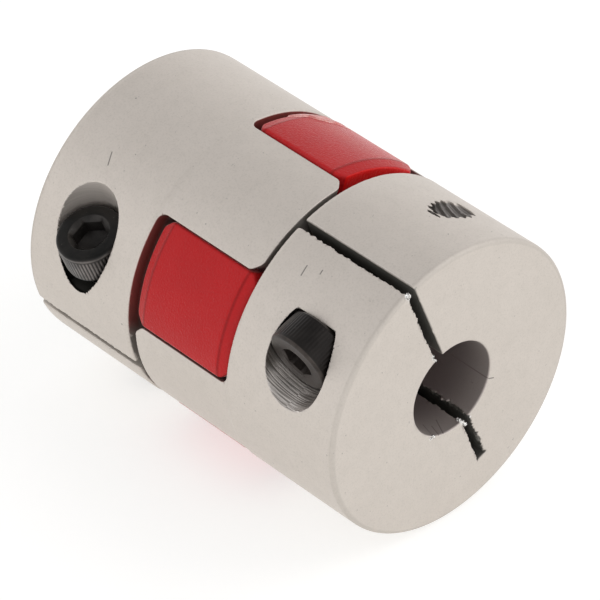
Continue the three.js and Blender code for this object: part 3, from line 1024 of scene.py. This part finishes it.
def black_oxide(name, hub):
    """Black oxide steel with a thin film of oil, worn where the mask says; painted shade darkens the
    knurled side of the head.
    """
    s = Shading(name)
    stain = s.noise(STAIN_SIZE, detail=4, roughness=0.65, seed=hub["seed"])
    grit = s.noise(GRIT_SIZE, detail=2)
    wear_and_red_reflection = s.band(s.noise(WEAR_SIZE, detail=3, roughness=0.6, seed=hub["seed"]), *WEAR_LIMITS)
    nicks = s.band(s.noise(NICK_SIZE, detail=3, roughness=0.7, stretch=NICK_STRETCH), *NICK_LIMITS)
    worn = s.times(s.stored("mask"), wear_and_red_reflection, hub["wear"])
    colour = s.blend(s.band(stain, *STAIN_LIMITS), *hub["oxide"])
    colour = s.blend(worn, colour, WORN_COLOUR)
    # Painted shade darkens the knurled side of the head.
    shaded_side = s.times(s.stored("knurl"), hub["head_side_shade"])
    colour = s.blend(shaded_side, colour, HEAD_SIDE_SHADE_COLOUR)
    colour = s.blend(s.times(nicks, NICK_SHARE), colour, NICK_COLOUR)
    dull = s.band(stain, *STAIN_LIMITS, *STAIN_ROUGHNESS)
    roughness = s.math("ADD", dull, s.times(grit, GRIT_ROUGHNESS))
    normal = s.bump(grit, GRIT_HEIGHT)
    return s.finish(Base_Color=colour, Roughness=roughness, Normal=normal, **OXIDE_FINISH)


# ---------------------------------------------------------------- the coupling


def add_distance_piece(name, distance, span, placed, material, mask, node):
    """Meshes a distance function over a span of X, places it and stands it in for its CAD node.
    The mask is kept on the points for the material."""
    reach = OUTER_RADIUS + MARGIN
    low, high = (span[0] - MARGIN, -reach, -reach), (span[1] + MARGIN, reach, reach)
    points, faces, normals = shell(distance, low, high)
    turn = np.array(placed.to_3x3())
    obj = object_from(name, points @ turn.T, faces, material, normals @ turn.T)
    store(obj, "mask", mask(*points.T))
    stand_in(obj, node)
    return obj


def stand_in(obj, node):
    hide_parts(node)
    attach(obj, node)


def add_hub(end, hub, placed):
    """A hub and its screw."""
    name = f"hub_{end}"
    add_distance_piece(
        name,
        lambda x, y, z: hub_distance(hub, x, y, z),
        (ROOT_FACE - hub["jaw_length"], END_FACE),
        placed,
        aluminium(f"anodised_{end}", hub, placed),
        lambda x, y, z: burr_mask(hub, x, y, z),
        f"{end}_hub",
    )
    screw = screw_mesh(f"screw_{end}", hub, black_oxide(f"black_oxide_{end}", hub))
    line = Matrix.Translation((END_FACE - hub["screw_from_end_face"], 0, hub["screw_from_axis"]))
    line = line @ Matrix.Rotation(-hub["screw_tilt"], 4, "X")
    seat = Matrix.Translation((0, -hub["head_from_slit"], 0)) @ Matrix.Rotation(-math.pi / 2, 4, "Z")
    screw.data.transform(placed @ line @ seat)
    stand_in(screw, f"{end}_clamp_screw")


add_hub("front", FRONT, FRONT_PLACE)
add_hub("rear", REAR, REAR_PLACE)
add_distance_piece(
    "spider_moulding",
    spider_distance,
    (-ROOT_FACE, ROOT_FACE),
    FRONT_PLACE,
    elastomer("red_polyurethane"),
    flash_mask,
    "spider",
)


# ---------------------------------------------------------------- floor, light and camera


FLOOR_HALF_SIZE = 1.5
FLOOR_GAP = 0.2 * MM
FLOOR_COLOUR = (0.5, 0.5, 0.495, 1)
FLOOR_GLOW = {"Emission_Color": (1, 1, 0.99, 1), "Emission_Strength": 0.6}
KEY_PLACE = (0.3, 0.3, 0.5)
KEY_SIZE = 0.4
KEY_POWER = 0.8
TENT_COLOUR = (0.987, 0.988, 1.0, 1)

# How bright the tent is between two heights, given as the upward part of a direction.
TENT = {"From Min": 0.3, "From Max": 0.9, "To Min": 1.2, "To Max": 0.575}

CAMERA_AZIMUTH = math.radians(46.81)
CAMERA_ELEVATION = math.radians(37.85)
CAMERA_DISTANCE = 341.3 * MM
CAMERA_ASIDE = 0.3 * MM
CAMERA_ABOVE = -1.01 * MM
CAMERA_SENSOR_MM = 36.0
CAMERA_LENS_MM = 265.1
CAMERA_CLIP_START = 10 * MM


def add_floor():
    """A pale light table under the coupling."""
    size, height = FLOOR_HALF_SIZE, -OUTER_RADIUS - FLOOR_GAP
    corners = [(-size, -size), (size, -size), (size, size), (-size, size)]
    mesh = bpy.data.meshes.new("floor")
    mesh.from_pydata([(x, y, height) for x, y in corners], [], [(0, 1, 2, 3)])
    s = Shading("light_table")
    mesh.materials.append(s.finish(Base_Color=FLOOR_COLOUR, Roughness=0.9, **FLOOR_GLOW))
    floor = bpy.data.objects.new("floor", mesh)
    bpy.context.scene.collection.objects.link(floor)


def add_area_light(name, place, size, power):
    """A square soft box aimed at the coupling."""
    light = bpy.data.lights.new(name, "AREA")
    light.shape = "SQUARE"
    light.size = size
    light.energy = power
    obj = bpy.data.objects.new(name, light)
    obj.location = place
    obj.rotation_euler = Vector(place).to_track_quat("Z", "Y").to_euler()
    bpy.context.scene.collection.objects.link(obj)


def add_world():
    """A light tent: bright all round, dimmer overhead."""
    world = bpy.data.worlds.new("light_tent")
    world.use_nodes = True
    tree = world.node_tree
    direction = tree.nodes.new("ShaderNodeTexCoord").outputs["Generated"]
    split = tree.nodes.new("ShaderNodeSeparateXYZ")
    tree.links.new(direction, split.inputs[0])
    fall = tree.nodes.new("ShaderNodeMapRange")
    fall.interpolation_type = "SMOOTHSTEP"
    tree.links.new(split.outputs["Z"], fall.inputs["Value"])
    for name, value in TENT.items():
        fall.inputs[name].default_value = value
    background = tree.nodes["Background"]
    background.inputs["Color"].default_value = TENT_COLOUR
    tree.links.new(fall.outputs["Result"], background.inputs["Strength"])
    bpy.context.scene.world = world


def add_camera():
    """Looks down on the coupling from its front end, from far away through a long lens."""
    level = Vector((math.sin(CAMERA_AZIMUTH), -math.cos(CAMERA_AZIMUTH), 0))
    right = Vector((math.cos(CAMERA_AZIMUTH), math.sin(CAMERA_AZIMUTH), 0))
    back = level * math.cos(CAMERA_ELEVATION) + Vector((0, 0, math.sin(CAMERA_ELEVATION)))
    up = back.cross(right)
    place = back * CAMERA_DISTANCE + right * CAMERA_ASIDE + up * CAMERA_ABOVE
    data = bpy.data.cameras.new("camera")
    data.sensor_width = CAMERA_SENSOR_MM
    data.lens = CAMERA_LENS_MM
    data.clip_start = CAMERA_CLIP_START
    camera = bpy.data.objects.new("camera", data)
    turn = Matrix((right, up, back)).transposed().to_4x4()
    camera.matrix_world = Matrix.Translation(place) @ turn
    bpy.context.scene.collection.objects.link(camera)
    bpy.context.scene.camera = camera


add_floor()
add_world()
add_area_light("key", KEY_PLACE, KEY_SIZE, KEY_POWER)
add_camera()
bpy.context.scene.view_settings.view_transform = "Standard"
